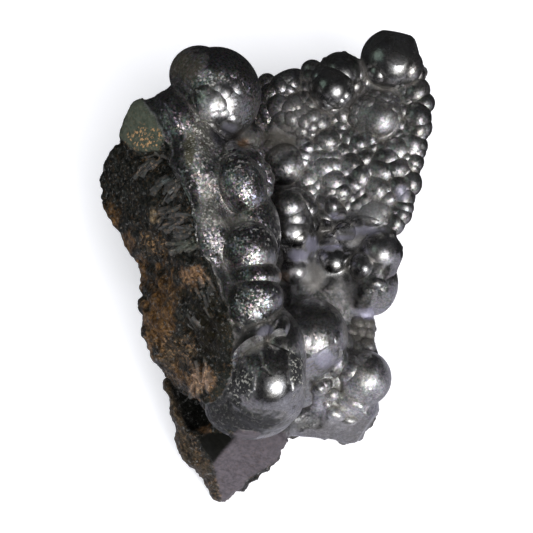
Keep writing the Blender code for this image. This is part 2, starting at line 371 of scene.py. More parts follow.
# %% Outline the smooth faces
GREEN_FACET = [
    (-26.8, 33.4), (-25.2, 33.4), (-23, 31.2), (-21, 28), (-20.4, 26), (-20.6, 24.2),
    (-21.4, 22.6), (-25.4, 22.4), (-27, 23.4), (-29.6, 25.6), (-28.8, 27.8), (-27.6, 31.2),
]
PALE_FACE = [
    (-5.8, -32.8), (0.6, -33.2), (6.4, -33.4), (2, -39.4), (-0.4, -41), (-3.6, -43),
    (-5.2, -45.5), (-8.8, -48), (-10.6, -39.8),
]
DARK_CHIP = [(-11.6, -33.4), (-5.8, -34.2), (-10.6, -39.8), (-13.6, -35.2)]
RECESS = [
    (-20.2, -21.8), (-17.6, -25), (-15.6, -26.4), (-12.8, -27.4), (-11.8, -31), (-11, -32.6),
    (-15.6, -33.4), (-18, -27.6),
]
SMOOTH_FACES = (GREEN_FACET, PALE_FACE, DARK_CHIP)
EVENNESS = 0.85

places = seen_places(points)
seen = smooth_step(-0.1, 0.2, toward_viewer(facing))
even = np.zeros(len(points))
for outline in SMOOTH_FACES:
    even = np.maximum(even, seen * outline_share(places, outline))
rough = bare * (1.0 - EVENNESS * even)
print("the smooth faces cover", round(float(even.mean()) * 100, 1), "% of the body")

# %% [markdown]
# ## The front of the plate
#
# At its front the plate falls off in two steep slopes. A cut would leave a hard rim, so points that
# stand over a slope are moved back onto it, less and less toward its edge.

# %% Plane the front slopes
FRONT_SLOPES = [
    ((17, -27.5, 17.2), (0.06, -0.766, 0.64), [(8, -24), (25, -25), (26, -36),
     (16, -41), (8, -39)]),
    ((22.2, -30.3, 6), (0.80, -0.58, 0.05), [(15, -42), (17, -32), (22, -26),
     (29, -22), (31, -42)]),
]


def planed(points, places):
    """Takes off what stands over the slopes at the front end of the plate."""
    for place, slope, field in FRONT_SLOPES:
        way = np.array(facing_way(*slope))
        over = (points - np.array(spot(*place))) @ way
        share = outline_share(places, field, 1.0)
        points = points - (np.clip(over, 0.0, None) * share)[:, None] * way
    return points


whole = points
points = planed(points, places)
planed_off = np.linalg.norm(points - whole, axis=1).max() / MM
print("the slopes take off up to", round(float(planed_off), 1), "mm")

# %% [markdown]
# ## Grain on the broken side
#
# The ore broke along the fibres that it grew in: coarse and fine lumps, slanting ledges, and ribs
# like the ends of columns. Noise of a few sizes is added up, and ledges and ribs are sine waves
# across the grain, so nothing is stretched as an image would be.

# %% Work out the grain
ROCK_WAVES = [(6.0, 0.55), (2.6, 0.5), (1.2, 0.45)]
SKIN_WAVES = [(7.0, 0.16), (2.2, 0.05)]
GRAIN_TURN = math.radians(-48.0)
LEDGE_DEPTH = 0.26
COLUMNS = [(-18.6, 15.2, 3.4, 2.4, 24), (-17.8, 9.0, 3.6, 2.8, 14), (-15.9, 3.8, 2.2, 1.6, 20)]
COLUMN_SPACING = 1.3
COLUMN_DEPTH = 0.34
RECESS_DEPTH = 1.1


def across_grain(places, turn):
    """How far places lie across a direction that is turned to the left, in millimetres."""
    return places[:, 1] * math.cos(turn) - places[:, 0] * math.sin(turn)


def ribs(places, x, y, half_x, half_y, angle):
    """Parallel ribs, like the ends of the columns that the ore grew in, inside a round field."""
    across = across_grain(places, math.radians(angle))
    field = round_share(places, x, y, half_x, half_y)
    return field * np.abs(np.sin(across * math.pi / COLUMN_SPACING))


relief = np.zeros(len(points))
for number, (size, depth) in enumerate(ROCK_WAVES):
    relief += rough * depth * (1.4 * np.abs(waves(points, size, number + 10)) - 0.35)
for number, (size, depth) in enumerate(SKIN_WAVES):
    relief += (1.0 - bare) * depth * waves(points, size, number + 20)
ledges = np.sin(across_grain(places, GRAIN_TURN) * 2.0 + 2.5 * waves(points, 5.0, 31))
relief += rough * LEDGE_DEPTH * ledges * smooth_step(-8.0, 6.0, -places[:, 1])
for field in COLUMNS:
    relief += seen * bare * COLUMN_DEPTH * ribs(places, *field)
relief -= RECESS_DEPTH * seen * outline_share(places, RECESS, 0.8)
print("the grain is", round(float(np.ptp(relief)), 1), "mm deep")

# %% [markdown]
# ## Skin and rock at the crest
#
# The skin is a shell on the rock, so the rock drops away under its edge and stands out again
# further left. On the right the body is drawn in, so that the crisp lumps stand out of it.

# %% Set the rock and the skin
SKIN_INSET = 0.2
ROCK_STEP = 0.55
ROCK_OUT = 0.35
STEP_WIDTH = 1.6
BASE_HEIGHT = 0.7
RIDGE_FIELD = [
    (-19, 44), (-2, 44), (1.5, 33), (0.5, 24), (2.5, 14), (3.5, 2), (4.5, -8),
    (8.5, -18), (9, -28), (3, -33), (-9, -33), (-14, -28), (-8, -20),
    (-6, -12), (-9, -2), (-13, 6), (-17, 20),
]
RIDGE_INSET = 0.85
RIDGE_START = (1.0, 3.2)

right = places[:, 0] - crest_at(places[:, 1])
near_crest = np.exp(-np.clip(-right, 0.0, None) / STEP_WIDTH) * seen
relief += bare * (ROCK_OUT * (1.0 - near_crest) - ROCK_STEP * near_crest) - SKIN_INSET * (1.0 - bare)
under_ridge = smooth_step(*RIDGE_START, right) * outline_share(places, RIDGE_FIELD, 1.0)
relief -= RIDGE_INSET * (1.0 - bare) * seen * under_ridge
moved = points + facing * (relief * MM)[:, None]
moved[:, 2] = np.where(points[:, 2] < BASE_HEIGHT * MM, 0.0, np.maximum(moved[:, 2], 0.0))
put_coordinates(body.data, moved)
body.data.shade_smooth()
print("the body's points moved by up to", round(float(np.abs(relief).max()), 1), "mm")

# %% [markdown]
# ## Lumps
#
# Each lump is a rounded shell that met its neighbours while it grew, so the creases between them
# are sharp. Round meshes, united by a Boolean, give just that. A remesh would round the seams off.

# %% Shape and unite lumps
BIG_LUMP = 4.0


def ball(name, rings, place):
    """A round mesh of radius one, sized, turned and placed by a matrix."""
    mesh = bmesh.new()
    bmesh.ops.create_icosphere(mesh, subdivisions=rings, radius=1.0, matrix=place)
    return new_object(name, mesh)


def lump(x, y, height, half_width, half_length, half_depth, turn=0.0, big=BIG_LUMP):
    """A spheroid as a small mesh object: places and sizes as seen, its turn to the left."""
    rings = 6 if half_width > big else 5
    lean = Matrix.Rotation(math.pi / 2 - VIEW_ELEVATION, 4, "X")
    spin = Matrix.Rotation(math.radians(turn), 4, "Z")
    size = Matrix.Diagonal((half_width * MM, half_length * MM, half_depth * MM, 1.0))
    return ball("lump", rings, Matrix.Translation(spot(x, y, height)) @ lean @ spin @ size)


def united(name, parts):
    """One closed piece from overlapping parts, which are used up."""
    group = bpy.data.collections.new(name + "_parts")
    bpy.context.scene.collection.children.link(group)
    whole = parts[0]
    for part in parts[1:]:
        bpy.context.scene.collection.objects.unlink(part)
        group.objects.link(part)
    step = whole.modifiers.new("unite", "BOOLEAN")
    step.operation = "UNION"
    step.solver = "MANIFOLD"
    step.operand_type = "COLLECTION"
    step.collection = group
    whole = applied(whole)
    whole.name = name
    whole.data.name = name
    for part in parts[1:]:
        bpy.data.objects.remove(part, do_unlink=True)
    bpy.data.collections.remove(group)
    return whole

# %% [markdown]
# ## The ridge
#
# The ridge is a row of big lumps, from the cracked ball at the top to the big ball at the front.
# Flat broken facets between them are lumps with the top sawn off by a plane, which keeps the piece
# closed and the rim crisp.

# %% Grow the ridge's lumps
# x, y, height, half width, half length, half depth, and a turn to the left in degrees.
RIDGE_LUMPS = [
    (-10, 33.9, 29.5, 9, 9.6, 9.6), (-13.4, 37.9, 27.5, 6, 5.9, 8.4),
    (-11.2, 32.6, 33.6, 5.2, 5.4, 5.4), (-5.5, 35.6, 31.5, 3.6, 4.8, 6.3, 10),
    (-6, 16, 32, 6, 8, 8, 20), (-2.6, 6.4, 32, 5.6, 9, 8, 4),
    (-5, 15.6, 37.4, 5.1, 6.8, 6.6, 18), (-3.4, 2.5, 38, 5.9, 6.1, 6.6),
    (-2.2, -2.4, 38, 5.3, 3.4, 5.8), (-1.9, -6.8, 37.8, 5.4, 5, 6.3),
    (-3.5, -8.9, 37.3, 5.3, 4.9, 6.4), (-2, -16.6, 33.6, 5.2, 4.4, 5, 10),
    (2.8, -17.8, 33, 5.2, 9, 7.4, 6), (0.3, -22.9, 34.4, 7.7, 8, 8.4),
    (-0.6, -25.8, 30.6, 8.5, 7.7, 8.6), (-3, -28.4, 27.4, 9.2, 6.6, 7.4),
]
# A lump, then a place on the plane that cuts it and the way that the plane faces.
CUT_LUMPS = [
    ((-3.4, -16.2, 36.4, 2.7, 6.4, 6.4, -42), ((-3.4, -16.2, 41), (0.25, -0.58, 0.775))),
    ((2.4, -13.8, 37, 2.3, 3.8, 5.4, -22), ((2.4, -13.8, 41.2), (0.15, -0.62, 0.77))),
    ((-5.6, -13.2, 37, 1.6, 2, 4.4, 10), ((-5.6, -13.2, 40.6), (-0.3, -0.5, 0.81))),
]


def cut_flat(part, place, way):
    """Cuts off what lies beyond a place, in a direction given as it is seen, and closes the cut."""
    facing = facing_way(*way)
    mesh = bmesh.new()
    mesh.from_mesh(part.data)
    everything = mesh.verts[:] + mesh.edges[:] + mesh.faces[:]
    cut = bmesh.ops.bisect_plane(mesh, geom=everything, plane_co=spot(*place), plane_no=facing,
                                 clear_outer=True)
    rim = [each for each in cut["geom_cut"] if isinstance(each, bmesh.types.BMEdge)]
    bmesh.ops.edgeloop_fill(mesh, edges=rim)
    bmesh.ops.triangulate(mesh, faces=[face for face in mesh.faces if len(face.verts) > 4])
    mesh.to_mesh(part.data)
    mesh.free()
    return part


ridge_parts = [lump(*place) for place in RIDGE_LUMPS]
ridge_parts += [cut_flat(lump(*place), *cut) for place, cut in CUT_LUMPS]
ridge = united("ridge_lumps", ridge_parts)
print("the ridge's lumps have", len(ridge.data.polygons), "faces")

# %% [markdown]
# ## The plate
#
# The plate has middling lumps, among them three balls beside the ridge. Two lumps have flat faces
# and some have pale, flat undersides, so these are cut by planes like the ridge's facets. The
# surface of the single parts is kept for the bubbles to stand on.

# %% Grow the plate's lumps
PLATE_LUMPS = [
    (3.2, 35.4, 18.6, 5.4, 2.8, 4.2, 36), (-4.4, 25.2, 21, 4.2, 3.4, 6),
    (14.9, 38.4, 22, 4.3, 4.2, 4.6), (13.2, 35.4, 22.6, 4.6, 4.6, 5),
    (7, 29.4, 16.8, 7.4, 5.6, 6.4, -15), (21.8, 29.8, 17, 6.6, 5.4, 6.6, 22),
    (23.8, 28.2, 18.6, 3, 2.9, 3.6), (3.6, 19.6, 17.6, 3.6, 3.6, 3.6),
    (13.8, 14.4, 16.6, 4.4, 3.8, 3.8), (18.4, 17.6, 15.4, 5, 4.6, 5),
    (12, 20, 15.6, 5, 4, 5), (27, 20, 15.8, 4.2, 5.6, 4.4, -12),
    (24.2, 13.4, 14.6, 4.6, 4.6, 4.8), (6.2, 7.8, 19.6, 4.2, 7.6, 4.6, 4),
    (4.5, 11.7, 26, 3.4, 3.3, 3.4), (5.5, 9.5, 25, 3, 2.9, 3),
    (5.2, 6.7, 23.6, 3.6, 3.6, 3.4), (8, 11.6, 21.4, 2.2, 3, 3.4),
    (21.4, 9.8, 15.2, 4.2, 4.2, 4.4), (13.4, 0.6, 14.6, 3.8, 3.8, 4.4),
    (6, -1.3, 16.8, 3, 3.2, 3.8), (22.9, 2.3, 16.8, 4.3, 4.2, 5.8),
    (15.8, 0.8, 14.2, 3, 2, 4.6, 35), (19.4, -0.6, 17.9, 3, 3, 4.2),
    (21.8, -3.8, 17.4, 2.8, 2.2, 3.4), (13.4, -14.8, 25.4, 2.1, 3.2, 4.2),
    (19.6, -22.8, 15.6, 5.5, 5.6, 6.6), (17.2, -21.4, 18.1, 3.3, 3.3, 4),
]
UNDER_LUMPS = [
    (12.6, 4.4, 15.6, 2.6, 2.4, 5, 10), (15.6, 6.2, 15.8, 2.6, 2.4, 5, 20),
    (19.8, 8, 14.8, 4.6, 2.6, 5, 12), (14.2, 10.2, 16, 2.4, 2, 4.6, 25),
    (11.4, 7.4, 16, 2.2, 2, 4.6),
]
UNDER_WAY = (0.05, -0.68, 0.73)
UNDER_SHARE = 0.7
PLANED_LUMPS = [
    (9.2, -14.6, 23, 7.2, 7.8, 8.6), (7.4, -20.6, 19, 4.4, 8.2, 11),
    (7.4, -14.9, 26.6, 4.6, 5, 5),
]
UNDERSIDE_CUT = ((12.2, -18.0, 27.2), (0.5, -0.68, 0.53))
FACETED_LUMPS = [
    ((25.2, 40.9, 21.2, 6.3, 6.3, 6.3), [((26.2, 46.6, 21), (0.2, 1, 0.1)),
     ((30.5, 42.4, 21), (1, 0.22, 0.12)), ((25, 40, 26.9), (0.2, 0.25, 1))]),
    ((22, -4.6, 14.4, 4.4, 5.8, 5.6, -14), [((21.7, -7.4, 17.1), (-0.1, -0.56, 0.82)),
     ((22.2, -8.2, 15.8), (0.3, -0.73, 0.62))]),
]
PLATE_BIG_LUMP = 6.9
FACETED_BIG_LUMP = 5.0


def surface_of(*objects):
    """A surface that rays can be cast at, from one or more objects."""
    mesh = bmesh.new()
    for each in objects:
        mesh.from_mesh(each.data)
    tree = BVHTree.FromBMesh(mesh)
    mesh.free()
    return tree


plate_parts = [lump(*place, big=PLATE_BIG_LUMP) for place in PLATE_LUMPS]
plate_parts += [cut_flat(lump(*place), *UNDERSIDE_CUT) for place in PLANED_LUMPS]
for place in UNDER_LUMPS:
    x, y, height = place[:3]
    top = height + UNDER_SHARE * place[5] * STEEP
    plate_parts.append(cut_flat(lump(*place), (x, y, top), UNDER_WAY))
for place, cuts in FACETED_LUMPS:
    part = lump(*place, big=FACETED_BIG_LUMP)
    for cut in cuts:
        cut_flat(part, *cut)
    plate_parts.append(part)
under_domes = surface_of(body, *plate_parts)
plate = united("plate_lumps", plate_parts)
print("the plate's lumps have", len(plate.data.polygons), "faces")

# %% [markdown]
# ## Places for the bubbles
#
# The bubbles that are seen well are listed with their radius. The gaps are filled by chance: a
# place is kept if it lies on the plate, off the smooth lumps and not too near to another bubble.

# %% Find places for the domes
# x, y and radius.
DOMES = [
    (1.4, 32.3, 1.8), (3.6, 33.6, 1.2), (4.7, 34.8, 1), (5.9, 35.9, 1), (-0.3, 34.4, 1.4),
    (0.1, 36.3, 1.1), (2.4, 36.3, 1.1), (4.2, 38, 1.1), (6.8, 39.3, 1.1), (9, 40.3, 1.1),
    (11, 40.9, 1.1), (8.5, 37.8, 1.2), (10.1, 38.6, 1.2), (7.6, 35.4, 1), (13.3, 30.6, 1),
    (15.1, 29.8, 1.3), (14.9, 27.8, 1), (11.8, 31.4, 0.9), (9.7, 29.6, 1.1), (11.6, 29.8, 1),
    (11.8, 28.2, 1.4), (9.4, 27.1, 1.1), (13.3, 26.8, 1), (11.4, 25.2, 1.7), (14.2, 24.4, 1),
    (8.3, 23.5, 1.1), (7.9, 24.8, 1), (9.1, 25.7, 1), (7.2, 26.2, 1), (7.8, 28.2, 1),
    (19.3, 38, 1.2), (20.1, 36.7, 0.8), (21.7, 37.5, 1.3), (30.1, 38.7, 1.8), (29.9, 34.9, 1.6),
    (32.5, 32.8, 1.2), (30.4, 30.3, 1.8), (30.3, 27.2, 1.4), (32.2, 27.3, 1.2), (31.2, 25.8, 0.8),
    (21.3, 34.3, 1), (20.3, 32.8, 1), (24.5, 33.8, 1.1), (26, 33, 1), (17.6, 31, 1),
    (27.3, 30.8, 1), (26.8, 29.5, 1.1), (17, 29.2, 1), (23.6, 28.1, 2.4), (20.6, 25.5, 1.2),
    (18.6, 24.7, 1.3), (16.1, 25.4, 1.1), (26.5, 26.1, 0.9), (27.3, 25.2, 1), (25.2, 24.7, 0.9),
    (29.1, 24.7, 1.4), (25.8, 23.5, 1.6), (28.2, 23, 0.7), (29.2, 22.9, 1.3), (23.8, 21.5, 1.7),
    (25.5, 20.8, 1), (28.4, 21.4, 0.8), (27.6, 20.3, 0.8), (29.9, 21, 1.2), (22.5, 19.1, 1.8),
    (25.6, 19.4, 1.9), (16.8, 20.6, 1.6), (19.9, 21.4, 1.3), (18.9, 17.8, 1.4), (15.7, 18.6, 1),
    (17.2, 16.1, 1.4), (19, 16.1, 0.8), (18.9, 14.7, 1.1), (15.5, 16.6, 0.9), (22, 15.3, 1.8),
    (20.6, 18.9, 0.9), (20.8, 16.7, 0.8), (26.1, 15.9, 1.4), (29.1, 16.9, 1.4), (29.5, 19.4, 1),
    (27.7, 13.6, 1.4), (27.4, 11.7, 1.1), (28.2, 15.2, 1), (-1.1, 22.3, 0.8), (-1.1, 20.3, 0.8),
    (-0.1, 20.6, 0.8), (-0.8, 17.5, 0.8), (0.6, 14.8, 1.3), (0.9, 17, 1.2), (0.4, 19, 1),
    (3.9, 20, 2.6), (7.3, 22.2, 1), (7.4, 20.4, 0.9), (5.6, 17.6, 1), (9.3, 19.3, 1.3),
    (11.5, 19.6, 1.7), (13.7, 19.9, 1.5), (13.4, 18.4, 0.9), (10.1, 17.9, 0.8), (11, 17.3, 1),
    (13, 17.2, 1.6), (7.7, 17, 1.5), (10, 16, 0.9), (8.8, 15, 1.2), (9.8, 13.6, 1), (13, 14.7, 1.1),
    (14.8, 14.9, 1.3), (13.7, 13.3, 1), (11.3, 12.4, 1.5), (15.6, 13.4, 1), (17.1, 13.2, 1),
    (19.7, 13, 1.1), (18.1, 11.8, 1.2), (16, 11.6, 1), (11.5, 9.8, 1.3), (13.4, 10.6, 1),
    (9.8, 10.6, 1), (24.5, 13, 1.2), (24.2, 11.2, 1), (25.8, 10.6, 1), (23.6, 16.5, 0.8),
    (10, 21.8, 1), (12, 21.8, 1), (14.2, 22, 1), (15.5, 23, 1.2), (17.4, 23, 1), (19.2, 23.2, 1),
    (21.4, 23.4, 1), (23.4, 23.7, 0.9), (15.4, 32, 1), (16.6, 33.6, 1), (28.4, 28.7, 0.8),
    (28.5, 33, 1.2), (27.8, 34.8, 1), (32, 36.2, 1), (32, 30.6, 1), (31.3, 24, 1.2),
    (30.8, 22.4, 1), (21.8, 20.9, 0.8), (16.4, -15.4, 1.4), (18.2, -11.4, 0.9), (20.4, -11.6, 0.8),
    (19.4, -13.6, 1.1), (21.4, -14, 0.7), (20.4, -15.8, 0.9), (18.4, -16.4, 0.8),
    (17, -13.2, 0.9), (14.6, -20.4, 1.7), (10.8, -24.6, 1.2),
]
# Left, top, right and bottom of a field, the smallest and largest radius, and the tries.
FILLED = [
    ((6, 24, 32, 8), (1, 1.4), 900), ((-1, 40, 14, 29), (0.9, 1.3), 500),
    ((14, 42, 32, 24), (0.9, 1.4), 700), ((-2, 24, 6, 12), (0.9, 1.2), 300),
]
SMOOTH_PLACES = [
    (14.9, 38.4, 4.4), (13.2, 35.2, 4.6), (25, 40.8, 6.9), (21.6, 29.4, 4.2), (3.4, 24.2, 3.4),
    (7.4, 30.6, 2.6), (4.6, 7.6, 4.6), (21.4, 9.8, 4), (20, 6, 3), (12.6, 5, 3.4),
    (15.4, 7.6, 2.8), (18.4, 8.2, 3.4),
]
PLATE_FIELD = [
    (-1, 25), (0, 34), (4, 38.4), (10.5, 40.6), (17, 41), (21, 41.4), (24, 36.6),
    (30, 38), (32.4, 34), (32.4, 28), (31, 22), (29.4, 17), (28, 9), (24, 5),
    (18, 3.5), (11, 4), (8, 15), (2.4, 17), (-0.5, 21),
]
DOME_SPACING = 0.72


def inside(x, y, outline):
    found = False
    for (x1, y1), (x2, y2) in zip(outline, outline[1:] + outline[:1]):
        if (y1 > y) != (y2 > y) and x < x1 + (y - y1) / (y2 - y1) * (x2 - x1):
            found = not found
    return found


def dome_places():
    """The domes that are seen well, then small ones in the gaps between them."""
    placed = list(DOMES)
    for (left, top, right, bottom), (small, large), tries in FILLED:
        for attempt in range(tries):
            radius = random.uniform(small, large)
            x = random.uniform(left, right)
            y = random.uniform(bottom, top)
            room = all(math.hypot(x - u, y - v) > DOME_SPACING * (radius + r) for u, v, r in placed)
            free = all(math.hypot(x - u, y - v) > r for u, v, r in SMOOTH_PLACES)
            if room and free and inside(x, y, PLATE_FIELD):
                placed.append((x, y, radius))
    return placed


random.seed(7)
all_places = dome_places()
print(len(all_places) - len(DOMES), "bubbles are added by chance to the", len(DOMES), "in the list")

# %% [markdown]
# ## Bubbles, blisters and fingers
#
# A bubble is the top of a ball that lies mostly under the surface, a little stretched and turned by
# chance. A ray down the view finds where it stands. The ridge's top ball has flatter blisters, and
# the front end has small fingers.

# %% Set the domes on the stone
RIDGE_DOMES = [
    (-11.9, 34.6, 1.2), (-10, 35.3, 1.2), (-8.2, 34.4, 1.2), (-10.8, 32, 1.7),
    (-10.9, 29.6, 1.3), (-8.6, 31.8, 1.3), (-13.2, 32.2, 1.1), (-8.8, 29.6, 1.2), (-5.4, 35.4, 1.2),
    (-6.2, 28.6, 1.2), (-6.4, 38.2, 1), (-13, 29.6, 1),
]
FINGERS = [
    (13.3, -26, 1.4, 1.5), (17.1, -27.4, 1.6, 3.1, -37), (14, -30, 1.5, 2.2, -56),
    (16.6, -31.2, 1.1, 1.8, -25), (12.2, -28, 0.9, 0.9), (15, -27, 1.2, 1.8, -50),
    (10.6, -24.6, 1.3, 1.4),
]
DOME_GROWTH = 1.5
DOME_SINK = 0.7
DOME_MARGIN = 0.3
DOME_STRETCH = 0.14
FINE_DOME = 1.15
BLISTER_GROWTH = 2.4
BLISTER_SINK = 0.89
FAR = 160.0


def land(tree, x, y):
    """The point of a surface that is seen at x, y, and the way the surface faces there."""
    start = spot(x, y, 0.0) + TOWARD_VIEWER * FAR * MM
    return tree.ray_cast(start, -TOWARD_VIEWER)[:2]


def dome(tree, x, y, radius, growth=DOME_GROWTH, sink=DOME_SINK):
    """A shallow dome: a ball, a little stretched, that lies mostly under the surface."""
    point, normal = land(tree, x, y)
    size = radius * growth * MM
    long = 1.0 + random.uniform(0.0, DOME_STRETCH)
    upright = normal.to_track_quat("Z", "Y").to_matrix().to_4x4()
    spin = Matrix.Rotation(random.uniform(0.0, math.pi), 4, "Z")
    place = Matrix.Translation(point - normal * (sink * size)) @ upright @ spin
    place = place @ Matrix.Diagonal((size * long, size / long, size, 1.0))
    return ball("dome", 4 if radius > FINE_DOME else 3, place)


def lying(tree, x, y, angle, sink):
    """A frame on the surface: across, outward and along a direction given as it is seen."""
    point, normal = land(tree, x, y)
    turn = math.radians(angle)
    along = spot(math.cos(turn), math.sin(turn), 0.0) - spot(0.0, 0.0, 0.0)
    along = (along - normal * along.dot(normal)).normalized()
    axes = Matrix((normal.cross(along), normal, along)).transposed().to_4x4()
    return Matrix.Translation(point - normal * sink * MM) @ axes


def finger(tree, x, y, half_width, half_length, angle=0.0):
    size = Matrix.Diagonal((half_width * MM, half_width * MM, half_length * MM, 1.0))
    return ball("finger", 4, lying(tree, x, y, angle, 0.0) @ size)


dome_spots = [place for place in all_places if land(under_domes, *place[:2])[0]]
skin_tree = surface_of(body, ridge)
small_domes = [dome(under_domes, x, y, radius + DOME_MARGIN) for x, y, radius in dome_spots]
small_domes += [finger(under_domes, *place) for place in FINGERS]
small_domes += [dome(skin_tree, *place, BLISTER_GROWTH, BLISTER_SINK) for place in RIDGE_DOMES]
domes = united("plate_domes", small_domes)
print(len(small_domes), "domes have", len(domes.data.polygons), "faces")

# %% [markdown]
# ## Creases and flakes
#
# The big lumps have thin creases, and two flakes of skin lie on the front ball. All are under a
# millimetre high, so points of the fine mesh are pushed in near a line, or out inside an outline.

# %% Cut creases and raise flakes on the ridge
# The corners of a line, its width on each side and its depth.
CREASES = [
    ([(-1, -17.6), (-0.6, -20.4), (0.2, -20.4), (1, -21.8)], 0.45, 0.5),
    ([(-8.2, -26.8), (-6.4, -28.8), (-4.2, -30.4), (-1.6, -32), (2.2, -32.4), (5.8, -30.4),
     (7.8, -26.4)], 0.5, 0.3),
    ([(-6.4, -27), (-3, -29.6), (1.4, -30.8), (5.4, -28.6), (7, -25.6)], 0.5, 0.16),
    ([(-6.8, -2.6), (-5.4, -4.6), (-3.6, -5.2)], 0.5, 0.5),
    ([(-8.6, 24.6), (-9.6, 20), (-10.2, 15), (-9.6, 10.6)], 0.6, 0.4),
    ([(-25.4, 34.4), (-21.8, 30.6), (-19.8, 26.4), (-18.6, 22)], 0.8, 0.5),
    ([(-23, 34.4), (-20, 30), (-18, 25.2), (-16.6, 19.6)], 0.8, 0.5),
    ([(-20.6, 34.4), (-17.2, 29), (-14.2, 24), (-12.6, 16)], 0.8, 0.3),
    ([(-18.6, 37.8), (-14.4, 33.8), (-12.2, 29.4), (-9.4, 26.6), (-5, 24.2),
     (-1.6, 25.6)], 0.9, 0.7),
]
FLAKES = [
    [(-2.8, -19.2), (-2, -21.8), (-2.2, -25), (-4, -26.4), (-6, -25.6), (-6.8, -23.6),
     (-4.8, -21.6)],
    [(4.4, -17), (4.8, -19.2), (5, -23), (5.4, -25.6), (7.6, -23.8), (6.8, -19.8)],
]
FLAKE_HEIGHT = 0.22
EDGE_WOBBLE = 0.25


def engrave(piece):
    points = coordinates(piece.data)
    facing = normals(piece.data)
    wobble = [EDGE_WOBBLE * waves(points, 1.2, seed) for seed in (51, 52)]
    places = seen_places(points) + np.column_stack(wobble)
    on_top = smooth_step(0.0, 0.3, toward_viewer(facing))
    move = np.zeros(len(points))
    for line, width, depth in CREASES:
        move -= depth * (1.0 - smooth_step(0.0, width, distance_to(places, line)))
    for outline in FLAKES:
        move += FLAKE_HEIGHT * outline_share(places, outline, 0.15)
    put_coordinates(piece.data, points + facing * (move * on_top * MM)[:, None])
    print("the creases of", piece.name, "are up to", round(float(-move.min()), 1), "mm deep")


engrave(ridge)
engrave(body)

# %% [markdown]
# ## Broken columns
#
# Left of the crest the ore shows the columns that it grew in. Each is a thin prism with five sides,
# half sunk into the rock. They come in fields that share a direction, and the rest is left to
# chance.

# %% Lay broken columns on the rock
# Left, bottom, right and top of a field, its direction in degrees and the tries.
COLUMN_FIELDS = [
    (-21.6, 13.2, -15.8, 17.2, 22, 20), (-21, 6.8, -15.2, 11.4, 12, 26),
    (-18.8, 5, -15.6, 6.6, 5, 8), (-17.8, 2.8, -14.4, 4.6, 18, 12),
    (-25, 18.6, -20, 21.6, 40, 10), (-14.5, -12, -11, -2, -60, 10),
    (-15.5, -25.5, -11.5, -21, 70, 12),
]
ANGLE_SPREAD = 7.0
COLUMN_LENGTH = (2.4, 5.4)
COLUMN_WIDTH = (0.7, 1.5)
CREST_MARGIN = 0.8


def column(tree, x, y, angle, length, width):
    mesh = bmesh.new()
    place = lying(tree, x, y, angle, 0.08 * width)
    bmesh.ops.create_cone(mesh, cap_ends=True, segments=5, radius1=width * MM / 2,
                          radius2=width * MM / 3, depth=length * MM, matrix=place)
    return new_object("column", mesh)


rock_tree = surface_of(body)
laid = []
for left, bottom, right, top, angle, count in COLUMN_FIELDS:
    for number in range(count):
        x = random.uniform(left, right)
        y = random.uniform(bottom, top)
        if x < crest_at(y) - CREST_MARGIN:
            turned = angle + random.uniform(-ANGLE_SPREAD, ANGLE_SPREAD)
            length = random.uniform(*COLUMN_LENGTH)
            width = random.uniform(*COLUMN_WIDTH)
            laid.append(column(rock_tree, x, y, turned, length, width))
columns = united("rock_columns", laid)
print(len(laid), "columns have", len(columns.data.polygons), "faces")

# %% [markdown]
# ## The crest's edge
#
# The skin ends in a thin bright edge, at the crest and at the lip of the ridge's top ball. A curve
# with a round bevel follows the line over the stone, which is quicker than to cut the shell's
# thickness, and is then made a closed mesh.

# %% Lay thin edges along the crest and the lip
LIP = [
    (-19, 36.6), (-16.6, 35.2), (-14.9, 33.4), (-13.9, 31), (-12.8, 29), (-10.4, 26.6),
    (-8, 24.8),
]
CREST_RADIUS = 0.26
LIP_RADIUS = 0.2
EDGE_STEP = 0.5


def edge_tube(tree, name, line, radius):
    """A thin closed tube that lies on a surface along a line of seen places."""
    centres = []
    for (x1, y1), (x2, y2) in zip(line, line[1:]):
        steps = max(1, round(math.hypot(x2 - x1, y2 - y1) / EDGE_STEP))
        for step in range(steps):
            share = step / steps
            wobble = 0.12 * math.sin(7.0 * len(centres)) + 0.1 * math.sin(2.3 * len(centres))
            x = x1 + (x2 - x1) * share + wobble
            centres.append(land(tree, x, y1 + (y2 - y1) * share)[0])
    path = bpy.data.curves.new(name, "CURVE")
    path.dimensions = "3D"
    path.bevel_depth = radius * MM
    path.bevel_resolution = 2
    path.use_fill_caps = True
    run = path.splines.new("POLY")
    run.points.add(len(centres) - 1)
    for point, centre in zip(run.points, centres):
        point.co = (*centre, 1.0)
    made = bpy.data.objects.new(name, path)
    bpy.context.scene.collection.objects.link(made)
    graph = bpy.context.evaluated_depsgraph_get()
    data = bpy.data.meshes.new_from_object(made.evaluated_get(graph))
    bpy.data.objects.remove(made)
    mesh = bmesh.new()
    mesh.from_mesh(data)
    bmesh.ops.remove_doubles(mesh, verts=mesh.verts[:], dist=1e-7)
    bpy.data.meshes.remove(data)
    return new_object(name, mesh)


skin_tree = surface_of(body, ridge)
crest = edge_tube(skin_tree, "crest_edge", CREST[3:11], CREST_RADIUS)
lip = edge_tube(skin_tree, "lip_edge", LIP, LIP_RADIUS)
print("the edges have", len(crest.data.polygons), "and", len(lip.data.polygons), "faces")
